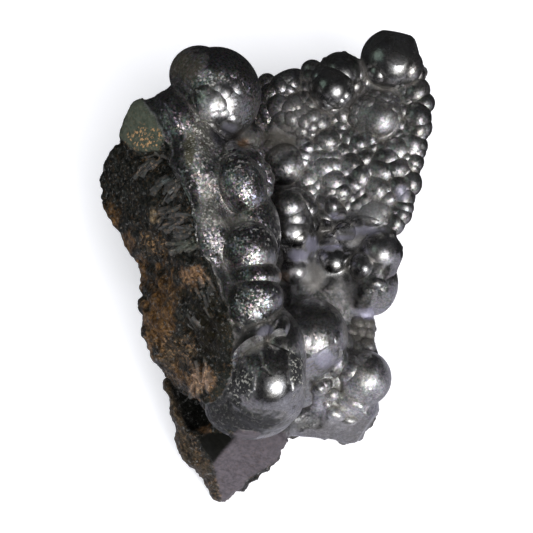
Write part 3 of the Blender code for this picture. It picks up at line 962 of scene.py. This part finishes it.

# %% [markdown]
# ## Colours for places
#
# The rock changes from near black to rust, green-grey and a pale lavender face, and the recess beside
# the front ball is painted black as painted shade. The patches are few and large, so each is a
# colour, how speckled it is, and a place and size or an outline.

# %% Choose colours for places on the rock
RUST = (0.085, 0.043, 0.013)
ORANGE = (0.15, 0.085, 0.045)
TAN = (0.26, 0.19, 0.11)
OLIVE = (0.008, 0.0065, 0.0025)
BLACK_ROCK_AND_SHADE = (0.006, 0.006, 0.005)
DARK_ROCK = (0.0095, 0.0108, 0.0085)
BROWN_ROCK = (0.045, 0.034, 0.022)
GREEN_GREY = (0.06, 0.069, 0.052)
TEAL = (0.09, 0.115, 0.11)
LAVENDER = (0.074, 0.065, 0.073)
COLUMN_GREY = (0.0125, 0.0135, 0.0115)
# Colour, share of specks, x, y, half width and half height.
ROUND_PATCHES = [
    (COLUMN_GREY, 0.2, -18.6, 15.2, 3.6, 2.6), (COLUMN_GREY, 0.25, -17.8, 9, 3.6, 3),
    (OLIVE, 0.04, -12.8, -14.2, 4.5, 7), (RUST, 0.5, -21.2, -10.8, 3.6, 10),
    (RUST, 0.4, -25.4, -2, 1.6, 3), (RUST, 0.3, -31, 9.8, 1.5, 2.8),
    (RUST, 0.3, -27.6, 4, 1.6, 2.2), (BROWN_ROCK, 1, -22.4, 4.4, 3, 2.6),
    (TAN, 0.6, -22.4, 9.6, 0.8, 1.8), (ORANGE, 0.9, -14.6, -2.4, 2.7, 2.2),
    (ORANGE, 0.9, -13.2, -23.4, 2.5, 3.2), (BROWN_ROCK, 0.8, -17.5, -18, 3.4, 4.2),
    (RUST, 0.6, -18, -22, 2.5, 2.6), (TEAL, 0, -19.9, 16.7, 1.2, 0.6),
    (GREEN_GREY, 0.1, -15.9, 3.8, 1.9, 0.9), (ORANGE, 0.6, -12.2, -33.2, 1.3, 1.1),
]
# The recess is painted black as painted shade; the dark chip is black rock.
OUTLINED_PATCHES = [
    (GREEN_GREY, 0.05, GREEN_FACET), (LAVENDER, 0.03, PALE_FACE), (BLACK_ROCK_AND_SHADE, 0, RECESS),
    (BLACK_ROCK_AND_SHADE, 0, DARK_CHIP),
]
SPECKLED_PLACES = [(-24, 25, 3.8, 2.3, 1), (-22.5, 20, 3, 2, 0.4)]
LEFT_RIM = [(-20.2, -22.2), (-19, -27.6), (-18.8, -33), (-14.2, -40.2), (-9.4, -47)]
RIM_WIDTH = 3.4
print(len(ROUND_PATCHES) + len(OUTLINED_PATCHES), "patches of colour lie on the rock")

# %% [markdown]
# ## Dust, painted reflection, painted shade, painted glints and painted highlights on the metal
#
# Dust lies in the valleys. Some undersides get a painted lilac reflection of the floor, the front
# ball's flanks and underside and the low shells at the front get painted shade, and pale specks at
# the glint places are painted glints. Each row is a place, a size and an amount. The metal is free of
# crackle at the even places. At the painted-highlight places its colour is raised as a painted
# highlight and it is rougher, so its highlights are wide and strong.

# %% Choose places on the metal
DUSTY_GREY = (0.17, 0.16, 0.148)
OLIVE_DUST = (0.05, 0.042, 0.02)
VALLEY_DUST = (0.075, 0.068, 0.056)
BAND_DUST = (0.10, 0.092, 0.055)
PALE_DUST = (0.24, 0.23, 0.19)
# Painted shade: a near-black, dull colour for the front ball's flanks and underside and the low
# shells at the front.
PAINTED_SHADE_GREY = (0.012, 0.012, 0.013)
# Painted reflection: lilac for undersides, standing in for the pale floor's reflection in the metal.
PAINTED_REFLECTION_LILAC = (0.27, 0.26, 0.345)
CHIPPED_GREY = (0.11, 0.11, 0.11)
# Colour, x, y, half width, half height and amount. The other lists have no colour.
DULL_PLACES = [
    (OLIVE_DUST, -16.2, 39.8, 4, 3.8, 0.8), (VALLEY_DUST, 2.6, 25, 4.6, 2.8, 0.9),
    (DUSTY_GREY, 6, 30, 6, 4.4, 0.3), (DUSTY_GREY, 21.6, 30.4, 6.4, 4.6, 0.2),
    (DUSTY_GREY, 17.6, 5, 2.6, 2, 0.6), (DUSTY_GREY, 15.6, -6.4, 2.6, 3.6, 0.5),
    (DUSTY_GREY, 9.4, -2.8, 2.6, 3.4, 0.85), (PAINTED_SHADE_GREY, -4.4, -31.8, 8.4, 3.4, 0.9),
    (PAINTED_SHADE_GREY, -9.4, -28.6, 4.6, 5.4, 0.9), (BAND_DUST, -12.6, 24.6, 2.4, 6, 0.55),
    (BAND_DUST, -15.2, 23, 1.7, 4, 0.9), (PALE_DUST, -11.4, 11, 2.4, 6, 0.5),
    (PALE_DUST, -6.4, 8.6, 3.6, 1.5, 0.6), (VALLEY_DUST, -3.4, 24.4, 3.6, 2, 0.8),
    (VALLEY_DUST, 19.6, -13, 4.4, 5, 0.8), (PAINTED_SHADE_GREY, -5, -23.4, 3, 4.4, 0.9),
    (PAINTED_SHADE_GREY, 6.2, -20.8, 1.8, 4.8, 0.9), (PAINTED_SHADE_GREY, 2.4, -32.2, 6, 2.2, 0.5),
    (PALE_DUST, -3.4, -16.8, 3, 1.4, 0.4), (PAINTED_REFLECTION_LILAC, 12.9, 3.6, 2.6, 1, 0.7),
    (PAINTED_REFLECTION_LILAC, 15.8, 5.4, 2.2, 1, 0.7), (PAINTED_REFLECTION_LILAC, 19.8, 6.8, 4.4, 1.1, 0.6),
    (PAINTED_REFLECTION_LILAC, 14.4, 9.6, 1.8, 0.8, 0.6), (PAINTED_REFLECTION_LILAC, 6.4, 1.8, 2.6, 1.4, 0.8),
    (PAINTED_REFLECTION_LILAC, 9.2, 4.2, 1.5, 2.2, 0.8), (PAINTED_REFLECTION_LILAC, 12, -19.2, 3.4, 2.4, 0.6),
    (PAINTED_REFLECTION_LILAC, 21, -9.6, 4, 1.4, 0.7), (PAINTED_REFLECTION_LILAC, -7.4, 27.2, 2.4, 1.2, 0.5),
    (ORANGE, -4.6, 24, 1.4, 1.3, 0.9), (ORANGE, 3.8, -2.6, 1.1, 1.6, 0.7),
    (PAINTED_SHADE_GREY, 16, -32.6, 6, 3, 0.3), (PAINTED_REFLECTION_LILAC, -0.2, -13.2, 1.8, 1.2, 0.6),
    (CHIPPED_GREY, 21.2, 10.8, 3.6, 2.6, 0.7), (PAINTED_REFLECTION_LILAC, 27.2, 14.2, 1.6, 2, 0.5),
]
# Painted glints: pale specks on worn skin, standing in for glints of light.
PAINTED_GLINT_PLACES = [
    (-13.6, 22, 3.4, 11, 0.8), (-10.6, 9, 3, 9, 0.7), (-6.4, 19, 4, 4, 0.5),
    (-5, -23.4, 3, 4.4, 0.6), (6.2, -20.8, 1.8, 4.8, 0.7), (-10.4, 37, 3.4, 1.8, 0.7),
    (-3, 6, 5.4, 4.6, 0.55), (-2.4, -8, 5, 4, 0.7), (-5.6, 18, 5, 6.4, 0.5),
    (1, 19, 2, 4, 0.4),
]
EVEN_PLACES = [
    (14, -35, 10, 5), (12, 3, 14, 8), (2, -35, 8, 3),
    (2, -25.6, 3.4, 5), (14, 36, 5, 6), (25, 41, 6, 6), (-8.6, 32, 5.4, 5.6),
    (-2, -28, 11, 8), (-1.5, -14.6, 6.5, 4.4), (-8, 26, 6, 3),
]
# Painted highlights: the metal's colour is raised here, where the key light's spots fall, and it is
# rougher.
PAINTED_HIGHLIGHT_PLACES = [
    (24.1, 27.9, 2.6, 2.4, 0.8), (28, 22.6, 3.4, 4, 0.6), (6, 11, 3, 2, 0.5),
    (6.2, 7.4, 2.6, 2.6, 0.6), (11, 18.4, 6, 5.4, 1), (7.2, -2, 3, 3, 1),
    (-16, 27.4, 1.2, 3.4, 0.9), (-13.9, 20.6, 1.2, 5, 0.9), (-12.6, 14.6, 1.2, 4, 0.9),
    (-10.4, 8, 1.4, 6, 0.12), (19, -23.2, 4.6, 4, 0.9), (15, -28.5, 5, 4, 1),
    (-10.6, 32, 3.4, 4, 1), (23, 13, 3, 4, 0.3), (-5.4, 16.4, 3.4, 3.4, 0.5),
    (-2.6, 1.4, 3.2, 2.8, 0.4), (-1.8, -7.6, 3.4, 3.2, 0.5), (9, -16, 4, 3.4, 0.3),
    (20.8, 16.8, 3, 3, 0.6), (22.9, 1.6, 3, 3, 0.8), (-10.4, 37.2, 3, 2, 0.9),
]
print(len(DULL_PLACES), "places on the metal are dull and", len(PAINTED_HIGHLIGHT_PLACES), "are bright")

# %% [markdown]
# ## Keep the patches on the points
#
# A material can't read these lists, so every point gets its share of each: how bare, speckled or
# painted with glints, dull and grainy it is, how much painted highlight it has, and its colour, which
# is rock, dust, a painted lilac reflection or painted shade. One material can then read them on all
# the pieces.

# %% Work out the rock's colour
def mixed(colours, share, colour):
    return colours + share[:, None] * (np.array(colour) - colours)


def strongest(values, patches, places, share, wobble):
    """Raises values to the amount of each round patch that is stronger there."""
    for *field, amount in patches:
        values = np.maximum(values, amount * share * round_share(places, *field, wobble))
    return values


def rock_patches(points, places, seen, wobble, dusty):
    """The rock's colour, with the recess painted black as painted shade, and how speckled it is, one
    row for each point.
    """
    broad = smooth_step(-0.3, 0.4, waves(points, 5.0, 42))
    colours = np.tile(DARK_ROCK, (len(points), 1))
    colours = mixed(colours, (1.0 - seen) * broad * 0.8, BROWN_ROCK)
    colours = mixed(colours, 0.08 * smooth_step(0.1, 0.4, waves(points, 3.0, 43)), BROWN_ROCK)
    specks_and_painted_glints = np.full(len(points), 0.12)
    rim = 1.0 - smooth_step(0.5, 1.1, distance_to(places, LEFT_RIM) / RIM_WIDTH + wobble)
    patches = [(*row[:2], round_share(places, *row[2:], wobble)) for row in ROUND_PATCHES]
    patches.append((BROWN_ROCK, 0.3, rim))
    patches += [(*row[:2], outline_share(places, row[2])) for row in OUTLINED_PATCHES]
    for colour, speckle, share in patches:
        colours = mixed(colours, seen * share, colour)
        specks_and_painted_glints += seen * share * (speckle - specks_and_painted_glints)
    specks_and_painted_glints = strongest(specks_and_painted_glints, SPECKLED_PLACES, places, seen, wobble)
    return mixed(colours, np.full(len(points), float(dusty > 0.0)), DUSTY_GREY), specks_and_painted_glints


print("the rock's own colour is", DARK_ROCK)

# %% [markdown]
# ## Dress the pieces
#
# Each piece is dressed by the same function, with its own share of bare rock, of crackle and of
# dust. It adds up the patches and keeps six attributes on the piece's points. The body alone has
# both skin and rock. The lumps are all skin, and the columns are nearly all rock.

# %% Dress the pieces
def keep_values(data, name, values):
    layer = data.attributes.new(name, "FLOAT", "POINT")
    layer.data.foreach_set("value", np.clip(values, 0.0, 1.0).astype(np.float32))


def dress(piece, bare, grain, dusty=0.0):
    """Keeps a piece's bareness, its colour of rock, dust, painted reflection and painted shade, its
    specks and painted glints, dullness, crackle and painted highlight on its points.
    """
    data = piece.data
    points = coordinates(data)
    places = seen_places(points)
    seen = smooth_step(-0.15, 0.1, toward_viewer(normals(data)))
    wobble = 0.7 * waves(points, 2.4, 41) + 0.5 * waves(points, 0.9, 44)
    bare = np.full(len(points), bare)
    metal = (1.0 - bare) * seen
    colours, specks_and_painted_glints = rock_patches(points, places, seen, wobble, dusty)
    dull = dusty * np.clip(0.5 + 1.2 * waves(points, 3.0, 45), 0.0, 1.0)
    # Dull places: dust, and also a painted lilac reflection and painted shade on the metal.
    for colour, *field, amount in DULL_PLACES:
        share = metal * round_share(places, *field, 0.6 * wobble)
        colours = mixed(colours, share, colour)
        dull = np.maximum(dull, amount * share)
    # Painted glints: more pale specks at the glint places.
    specks_and_painted_glints = strongest(specks_and_painted_glints, PAINTED_GLINT_PLACES, places, metal, wobble)
    crackle = np.full(len(points), grain)
    for outline in SMOOTH_FACES:
        crackle *= 1.0 - 0.9 * seen * outline_share(places, outline)
    crackle *= 1.0 - 0.6 * smooth_step(-1.0, 4.0, places[:, 0])
    for field in EVEN_PLACES:
        crackle *= 1.0 - 0.75 * round_share(places, *field)
    # Painted highlight: how much the metal is brightened where the key light's spots fall.
    painted_highlight = strongest(np.zeros(len(points)), PAINTED_HIGHLIGHT_PLACES, places, 1.0, 0.5 * wobble)
    keep_values(data, "painted_highlight", painted_highlight)
    layer = data.attributes.new("rock_dust_and_painted_colour", "FLOAT_COLOR", "POINT")
    rows = np.column_stack([colours, np.ones(len(points))]).astype(np.float32)
    layer.data.foreach_set("color", rows.ravel())
    keep_values(data, "bare", bare)
    keep_values(data, "specks_and_painted_glints", specks_and_painted_glints)
    keep_values(data, "dull", dull)
    keep_values(data, "crackle", crackle)
    print(piece.name, "has a mean dullness of", round(float(dull.mean()), 2))


dress(body, bare, 0.7)
dress(ridge, 0.0, 0.75)
dress(plate, 0.0, 0.8, 0.05)
dress(domes, 0.0, 0.8, 0.08)
dress(columns, 0.85, 0.3)
dress(crest, 0.0, 0.3)
dress(lip, 0.0, 0.3)

# %% [markdown]
# ## The finish
#
# One material covers the stone, because the skin passes into the rock without a border: polished
# metal where the bare attribute is nought, dull fibrous rock where it is one. A node tree is long
# to write out, so a small class adds the nodes.

# %% A short way to add nodes
class Finish:
    """A material's node tree, with short ways to add and join its nodes."""

    def __init__(self, name):
        self.material = bpy.data.materials.new(name)
        self.material.use_nodes = True
        self.tree = self.material.node_tree
        self.shader = self.tree.nodes["Principled BSDF"]
        self.place = self.tree.nodes.new("ShaderNodeTexCoord").outputs["Object"]

    def feed(self, socket, value):
        if isinstance(value, bpy.types.NodeSocket):
            self.tree.links.new(value, socket)
        else:
            socket.default_value = value

    def set(self, name, value):
        self.feed(self.shader.inputs[name], value)

    def node(self, kind, output, inputs, **settings):
        """Adds a node with its settings, feeds its inputs and gives one of its outputs."""
        step = self.tree.nodes.new("ShaderNode" + kind)
        for name, value in settings.items():
            setattr(step, name, value)
        for name, value in inputs.items():
            self.feed(step.inputs[name], value)
        return step.outputs[output]

    def pattern(self, kind, output, size, place=None, **inputs):
        """A pattern whose patches measure about size, in millimetres."""
        inputs.update(Vector=place or self.place, Scale=1.0 / (size * MM))
        return self.node(kind, output, inputs)

    def cloud(self, size, detail=2.0, rough=0.5, place=None):
        return self.pattern("TexNoise", "Fac", size, place, Detail=detail, Roughness=rough)

    def kept(self, name, output="Fac"):
        return self.node("Attribute", output, {}, attribute_name=name)

    def spread(self, value, low, high, to_low=0.0, to_high=1.0):
        """Moves the range from low to high onto another one, and stops at its ends."""
        ends = {"From Min": low, "From Max": high, "To Min": to_low, "To Max": to_high}
        return self.node("MapRange", "Result", {"Value": value, **ends})

    def sum(self, kind, first, second):
        return self.node("Math", "Value", {0: first, 1: second}, operation=kind)

    def times(self, first, second):
        return self.sum("MULTIPLY", first, second)

    def between(self, share, first, second, kind="FLOAT"):
        return self.node("Mix", "Result", {"Factor": share, "A": first, "B": second}, data_type=kind)

    def blend(self, share, first, second):
        return self.between(share, first, second, "RGBA")

    def scaled(self, vector, factor):
        return self.node("VectorMath", "Vector", {0: vector, "Scale": factor}, operation="SCALE")

    def joined(self, kind, first, second=(0.0, 0.0, 0.0)):
        return self.node("VectorMath", "Vector", {0: first, 1: second}, operation=kind)

    def bump(self, height, strength, depth, under=None):
        inputs = {"Height": height, "Strength": strength, "Distance": depth * MM}
        if under:
            inputs["Normal"] = under
        return self.node("Bump", "Normal", inputs)


skin = Finish("hematite_skin")
bare_here = skin.kept("bare")
dull_here = skin.kept("dull")
crackle_here = skin.kept("crackle")
painted_highlight_here = skin.kept("painted_highlight")
rock_dust_and_painted_colour_here = skin.kept("rock_dust_and_painted_colour", "Color")
print("the finish", skin.material.name, "is started")

# %% [markdown]
# ## The metal
#
# The metal is dark and cool, with a deeper tone in broad patches. Etching and tiny crystals break
# up its mirror, dust lies in the creases, and dull places take their own colour, among them a painted
# lilac reflection and painted shade. Pale specks are partly dust and partly painted glints, and the
# metal's colour is raised as a painted highlight at some places. All of it is noise on Object
# coordinates, as a stone has no flat side for an image.

# %% Mix the metal's colour
METAL = (0.29, 0.295, 0.325, 1.0)
METAL_DEEP = (0.20, 0.19, 0.165, 1.0)
WHITE = (1.0, 1.0, 1.0, 1.0)
CREASE_DUST = (0.27, 0.245, 0.21, 1.0)
PALE_SPECK_AND_PAINTED_GLINT = (0.62, 0.61, 0.55, 1.0)
ETCHING_SIZE = 0.5
CRYSTAL_SIZE = 0.38
CREASE_REACH = 1.4
CHIP_SIZE = 0.62

metal = skin.blend(skin.cloud(3.0, 3.0), METAL, METAL_DEEP)
etching = skin.spread(skin.cloud(ETCHING_SIZE, 3.0, 0.7), 0.38, 0.62)
faint_etching = skin.spread(etching, 0.0, 1.0, 0.8, 1.2)
strong_etching = skin.spread(etching, 0.0, 1.0, 0.4, 1.7)
metal = skin.scaled(metal, skin.between(crackle_here, faint_etching, strong_etching))
# Painted highlight: the metal's colour is raised up to 2.3 times where the key light's spots fall.
metal = skin.scaled(metal, skin.spread(painted_highlight_here, 0.0, 1.0, 1.0, 2.3))
crystals = skin.pattern("TexVoronoi", "Color", CRYSTAL_SIZE)
tint = skin.blend(skin.times(crackle_here, 0.25), WHITE, skin.scaled(crystals, 2.0))
metal = skin.joined("MULTIPLY", metal, tint)
open_here = skin.node("AmbientOcclusion", "AO", {"Distance": CREASE_REACH * MM}, samples=6)
crease = skin.spread(open_here, 0.5, 0.88, 1.0, 0.0)
dust_and_painted_light = skin.sum("MAXIMUM", skin.times(crease, 0.5), dull_here)
# The dull places' colours include a painted lilac reflection and painted shade.
dust_and_painted_colour = skin.blend(skin.spread(dull_here, 0.1, 0.4), CREASE_DUST, rock_dust_and_painted_colour_here)
metal = skin.blend(dust_and_painted_light, metal, dust_and_painted_colour)
# Pale specks: partly dust, and painted glints at the glint places; on the rock they are rusty specks.
chips_and_painted_glints = skin.spread(skin.cloud(CHIP_SIZE, 3.0, 0.6), 0.55, 0.62)
chips_and_painted_glints = skin.times(chips_and_painted_glints, skin.kept("specks_and_painted_glints"))
metal = skin.blend(skin.times(chips_and_painted_glints, 0.8), metal, PALE_SPECK_AND_PAINTED_GLINT)
print("the metal takes", len(skin.tree.nodes), "nodes so far")

# %% [markdown]
# ## The rock
#
# The broken rock is fibrous and gritty. A noise drawn out along the fibres and an even one make
# each place's colour lighter and darker. Rusty specks and small glints of ore lie in it.

# %% Mix the rock's colour
SPECK = (0.46, 0.27, 0.13, 1.0)
GLINT = (0.34, 0.34, 0.33, 1.0)
FIBRE_SIZE = 0.7
FIBRE_STRETCH = (5.0, 1.0, 1.0)
FIBRE_TURN = (0.0, 0.0, math.radians(-49.0))
GRIT_SIZE = 1.0
GLINT_SIZE = 0.75

turned = {"Vector": skin.place, "Scale": FIBRE_STRETCH, "Rotation": FIBRE_TURN}
along_fibres = skin.node("Mapping", "Vector", turned, vector_type="TEXTURE")
fibres = skin.cloud(FIBRE_SIZE, 5.0, 0.65, along_fibres)
grit = skin.cloud(GRIT_SIZE, 6.0, 0.72)
grit = skin.sum("ADD", skin.times(fibres, 0.5), skin.times(grit, 0.5))
faint_mottle = skin.spread(grit, 0.4, 0.6, 0.8, 1.2)
strong_mottle = skin.spread(grit, 0.42, 0.6, 0.0, 3.4)
mottle = skin.between(crackle_here, faint_mottle, strong_mottle)
rock = skin.scaled(rock_dust_and_painted_colour_here, mottle)
glints = skin.spread(skin.cloud(GLINT_SIZE, 4.0, 0.7), 0.58, 0.64)
glints = skin.times(glints, skin.spread(crackle_here, 0.2, 0.7, 0.0, 0.7))
rock = skin.blend(chips_and_painted_glints, skin.blend(glints, rock, GLINT), SPECK)
skin.set("Base Color", skin.blend(bare_here, metal, rock))
print("with the rock there are", len(skin.tree.nodes), "nodes")

# %% [markdown]
# ## Shine
#
# Polished skin is a sharp mirror. Dust, chips and crackle take its edge off, and bare rock isn't
# metal, apart from its glints. So the masks that mixed the colours also set the shine.

# %% Set the shine
ROCK_ROUGHNESS = 0.4

clean = skin.spread(dust_and_painted_light, 0.0, 1.0, 1.0, 0.45)
unchipped = skin.spread(chips_and_painted_glints, 0.2, 0.8, 1.0, 0.35)
skin.set("Metallic", skin.between(bare_here, skin.times(clean, unchipped), skin.times(glints, 0.8)))
roughness = skin.spread(skin.cloud(2.0, 2.0), 0.3, 0.7, -0.04, 0.04)
crackle_roughness = skin.spread(crackle_here, 0.06, 0.3, 0.23, 0.36)
for more in (crackle_roughness, skin.times(dust_and_painted_light, 0.22), skin.times(painted_highlight_here, 0.13)):
    roughness = skin.sum("ADD", roughness, more)
skin.set("Roughness", skin.between(bare_here, roughness, ROCK_ROUGHNESS))
skin_gloss = skin.spread(dull_here, 0.0, 0.8, 0.5, 0.1)
rock_gloss = skin.spread(crackle_here, 0.1, 0.7, 0.06, 0.34)
skin.set("Specular IOR Level", skin.between(bare_here, skin_gloss, rock_gloss))
print("with the shine there are", len(skin.tree.nodes), "nodes")

# %% [markdown]
# ## The finest grain
#
# What is finer than the mesh is left to the light. Bump nodes make the skin faintly uneven and the
# rock rubbly, and each tiny crystal is tilted by chance, so that single ones flash.

# %% Tilt the crystals
PEEL_SIZE = 0.6
PEEL_DEPTH = 0.06
RUBBLE_DEPTH = 0.3

peel = skin.bump(skin.cloud(PEEL_SIZE, 3.0), skin.between(bare_here, 0.35, 0.0), PEEL_DEPTH)
rubble = skin.between(bare_here, 0.0, skin.spread(crackle_here, 0.1, 0.7, 0.1, 1.0))
rubble = skin.bump(mottle, rubble, RUBBLE_DEPTH, peel)
skin_tilt = skin.spread(crackle_here, 0.0, 1.0, 0.0, 0.64)
rock_tilt = skin.spread(crackle_here, 0.0, 0.8, 0.0, 0.7)
tilt = skin.between(bare_here, skin_tilt, rock_tilt)
tilt = skin.scaled(skin.joined("SUBTRACT", crystals, (0.5, 0.5, 0.5)), tilt)
skin.set("Normal", skin.joined("NORMALIZE", skin.joined("ADD", rubble, tilt)))
print("the whole finish has", len(skin.tree.nodes), "nodes")

# %% [markdown]
# ## Hand the pieces over
#
# The columns stay flat-sided and the lumps are shaded smooth with sharp seams. The specimen is one
# stone, so all pieces ride on its one body and take the place of its one node.

# %% Give the finish to the pieces and hand them over
SEAM_ANGLE = math.radians(30.0)
PIECES = (body, ridge, plate, domes, columns, crest, lip)

for piece in PIECES:
    piece.data.materials.clear()
    piece.data.materials.append(skin.material)
for piece in (ridge, plate, domes, crest, lip):
    piece.data.shade_smooth()
    piece.data.set_sharp_from_angle(angle=SEAM_ANGLE)
for piece in PIECES:
    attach(piece, "root")
    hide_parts("hematite")
    print(piece.name, "has", sum(len(face.vertices) - 2 for face in piece.data.polygons), "triangles")

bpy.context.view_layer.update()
